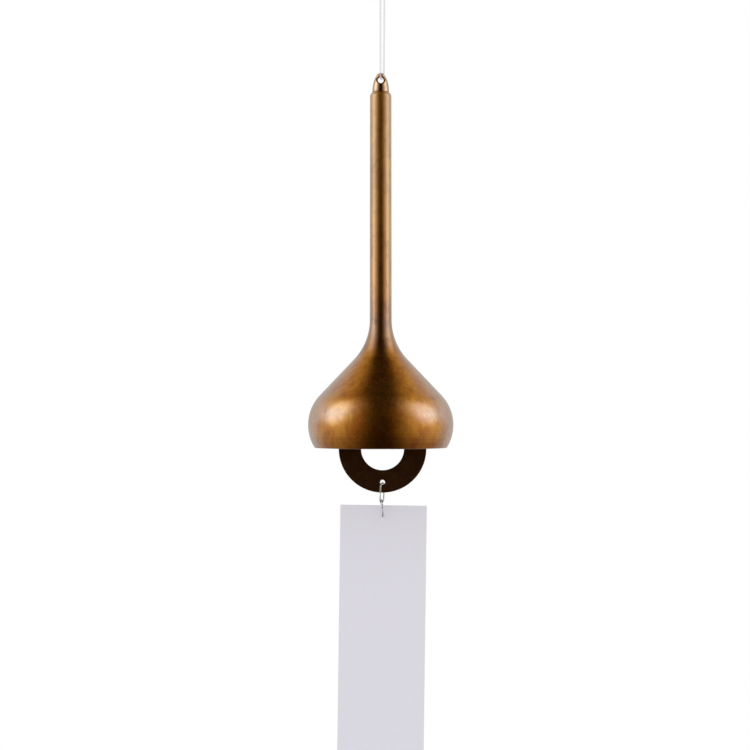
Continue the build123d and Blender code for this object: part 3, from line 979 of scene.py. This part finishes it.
def make_cloth(settings):
    """Black cloth round the camera and over the object, which only metal shows, as dark bands."""
    stage = settings.stage
    radius = stage.cloth_radius
    centre = Vector((0, 0, RIM_Z))
    finish = Finish("black_cloth")
    way = finish.node("VectorMath", {"operation": "SUBTRACT"}, {0: finish.place(), 1: centre})
    parts = finish.node("SeparateXYZ", values={0: finish.out(way)})
    across, along, up = (finish.out(parts, number) / radius for number in range(3))
    overhead = up.math("MAXIMUM", 0)
    width = across.math("ABSOLUTE") + overhead * stage.cloth_taper
    fringe = stage.cloth_fringe - overhead * stage.cloth_gather
    beside = ((width - stage.cloth_reach) / fringe + 0.5).ease(0, 1)
    behind = along.ease(0.2, 0.55)
    below = (0 - up).ease(0.1, 0.6) * stage.cloth_foot
    bare = (1 - (1 - beside) * (1 - behind)) * (1 - below)
    veil = along.ease(0, 1) * stage.cloth_veil
    thin = finish.mix(1 - bare, (1, 1, 1), stage.cloth_thin)
    thick = [part * stage.gloom for part in stage.cloth_tint]
    shown = finish.mix(1 - bare * (1 - veil), thin, thick)
    glow = finish.node("Emission", values={"Color": shown, "Strength": 1.0})
    finish.show(glow).cycles.emission_sampling = "NONE"
    mesh = bmesh.new()
    bmesh.ops.create_uvsphere(mesh, u_segments=48, v_segments=24, radius=radius)
    bmesh.ops.translate(mesh, vec=centre, verts=mesh.verts)
    bmesh.ops.reverse_faces(mesh, faces=mesh.faces)
    cloth = make_piece("black_cloth", mesh, finish.owner)
    cloth.visible_camera = False
    cloth.visible_diffuse = False
    cloth.visible_shadow = False
    cloth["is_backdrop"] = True


def make_floor(settings):
    """A pale round floor that fades into the white around it."""
    stage = settings.stage
    finish = Finish("pale_floor")
    parts = finish.node("SeparateXYZ", values={0: finish.place()})
    across = finish.out(parts, "X")
    along = finish.out(parts, "Y")
    reach = (across * across + along * along) ** 0.5
    pale = finish.out(finish.node("BsdfDiffuse", values={"Color": rgba(stage.floor_colour)}))
    white = finish.out(finish.node("Emission", values={"Strength": 1.0}))
    blend = finish.node("MixShader", values={0: reach.ease(0.25, 0.85), 1: pale, 2: white})
    finish.show(blend)
    mesh = bmesh.new()
    bmesh.ops.create_circle(mesh, cap_ends=True, segments=96, radius=stage.floor_radius)
    low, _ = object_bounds()
    bmesh.ops.translate(mesh, vec=(0, 0, low.z - stage.floor_drop), verts=mesh.verts)
    floor = make_piece("floor", mesh, finish.owner)
    floor.visible_glossy = False
    floor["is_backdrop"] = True


def make_lamp(name, way, power, stage):
    """An oval softbox that looks at the cup."""
    data = bpy.data.lights.new(name, "AREA")
    data.shape = "ELLIPSE"
    data.size = stage.box_width
    data.size_y = stage.box_height
    data.energy = power
    data.color = stage.box_colour
    lamp = add_object(name, data)
    way = Vector(way).normalized()
    lamp.location = Vector((0, 0, RIM_Z)) + way * stage.box_distance
    lamp.rotation_euler = way.to_track_quat("Z", "Y").to_euler()
    lamp.visible_camera = False


def make_world(settings):
    """A white room: as bright as white to the camera, metal and glass, and a little less as a light."""
    world = bpy.data.worlds.new("studio")
    bpy.context.scene.world = world
    finish = Finish("studio", world)
    path = finish.node("LightPath")
    seen = sum(finish.out(path, ray) for ray in ("Is Camera Ray", "Is Glossy Ray", "Is Transmission Ray"))
    light = settings.stage.room_light
    strength = seen.held() * (1 - light) + light
    back = finish.node("Background", values={"Color": (1, 1, 1, 1), "Strength": strength})
    finish.show(back, "OutputWorld")


def make_stage(settings):
    """Camera, cloth, floor and lamps."""
    stage = settings.stage
    scene = bpy.context.scene
    scene.view_settings.view_transform = "Standard"
    data = bpy.data.cameras.new("camera")
    data.lens = stage.lens
    camera = add_object("camera", data)
    camera.location = (stage.camera_right, -stage.camera_distance, stage.camera_height)
    camera.rotation_euler = (pi / 2, 0, 0)
    scene.camera = camera
    make_world(settings)
    make_cloth(settings)
    make_floor(settings)
    make_lamp("left_softbox", (-0.88, -0.15, 0.42), stage.box_power, stage)
    make_lamp("right_softbox", (0.88, -0.15, 0.41), stage.box_power * stage.right_share, stage)


# Operators and sidebar


class Maker:
    """What all the operators share."""

    bl_options = {"REGISTER", "UNDO"}


class WINDBELL_OT_stage(Maker, Operator):
    """Add the camera, the lamps, the floor and the cloth around the bell"""

    bl_idname = "windbell.stage"
    bl_label = "Stage"

    def execute(self, context):
        make_stage(context.scene.wind_bell)
        return {"FINISHED"}


class WINDBELL_OT_line(Maker, Operator):
    """Add the doubled line, its knot and the loop for the hook"""

    bl_idname = "windbell.line"
    bl_label = "Hanging Line"

    def execute(self, context):
        make_line(context.scene.wind_bell)
        return {"FINISHED"}


class WINDBELL_OT_thread(Maker, Operator):
    """Add the clapper's thread and its knot"""

    bl_idname = "windbell.thread"
    bl_label = "Clapper Thread"

    def execute(self, context):
        make_thread(context.scene.wind_bell)
        return {"FINISHED"}


class WINDBELL_OT_bell(Maker, Operator):
    """Add the brass cup with its long neck"""

    bl_idname = "windbell.bell"
    bl_label = "Brass Bell"

    def execute(self, context):
        make_bell(context.scene.wind_bell)
        return {"FINISHED"}


class WINDBELL_OT_tip(Maker, Operator):
    """Add the eye tip at the neck's top"""

    bl_idname = "windbell.tip"
    bl_label = "Eye Tip"

    def execute(self, context):
        make_tip(context.scene.wind_bell)
        return {"FINISHED"}


class WINDBELL_OT_hanger(Maker, Operator):
    """Add the hanger in the cup's ceiling"""

    bl_idname = "windbell.hanger"
    bl_label = "Clapper Hanger"

    def execute(self, context):
        make_hanger(context.scene.wind_bell)
        return {"FINISHED"}


class WINDBELL_OT_ring(Maker, Operator):
    """Add the dark ring clapper"""

    bl_idname = "windbell.ring"
    bl_label = "Ring Clapper"

    def execute(self, context):
        make_ring(context.scene.wind_bell)
        return {"FINISHED"}


class WINDBELL_OT_links(Maker, Operator):
    """Add the two wire links"""

    bl_idname = "windbell.links"
    bl_label = "Wire Links"

    def execute(self, context):
        make_links(context.scene.wind_bell)
        return {"FINISHED"}


class WINDBELL_OT_strip(Maker, Operator):
    """Add the paper strip"""

    bl_idname = "windbell.strip"
    bl_label = "Paper Strip"

    def execute(self, context):
        make_strip(context.scene.wind_bell)
        return {"FINISHED"}


OPERATORS = (
    WINDBELL_OT_stage,
    WINDBELL_OT_line,
    WINDBELL_OT_thread,
    WINDBELL_OT_bell,
    WINDBELL_OT_tip,
    WINDBELL_OT_hanger,
    WINDBELL_OT_ring,
    WINDBELL_OT_links,
    WINDBELL_OT_strip,
)


class WINDBELL_PT_sidebar(Panel):
    """Lists the wind bell's pieces in the sidebar."""

    bl_idname = "WINDBELL_PT_sidebar"
    bl_label = "Wind Bell"
    bl_space_type = "VIEW_3D"
    bl_region_type = "UI"
    bl_category = "Wind Bell"

    def draw(self, context):
        settings = context.scene.wind_bell
        for operator in OPERATORS:
            self.layout.operator(operator.bl_idname)
        for part in settings.__annotations__:
            box = self.layout.box()
            group = getattr(settings, part)
            for name in group.__annotations__:
                box.prop(group, name)


GROUPS = (
    BellSizes,
    ClapperSizes,
    StripSizes,
    LineSizes,
    FinishColours,
    BrassLayers,
    StageSettings,
    WindBellSettings,
)


def register():
    for item in (*GROUPS, *OPERATORS, WINDBELL_PT_sidebar):
        bpy.utils.register_class(item)
    bpy.types.Scene.wind_bell = PointerProperty(type=WindBellSettings)


def unregister():
    del bpy.types.Scene.wind_bell
    for item in reversed((*GROUPS, *OPERATORS, WINDBELL_PT_sidebar)):
        bpy.utils.unregister_class(item)


def main():
    """Dress the whole wind bell."""
    register()
    for operator in OPERATORS:
        family, name = operator.bl_idname.split(".")
        getattr(getattr(bpy.ops, family), name)()


if __name__ == "__main__":
    main()
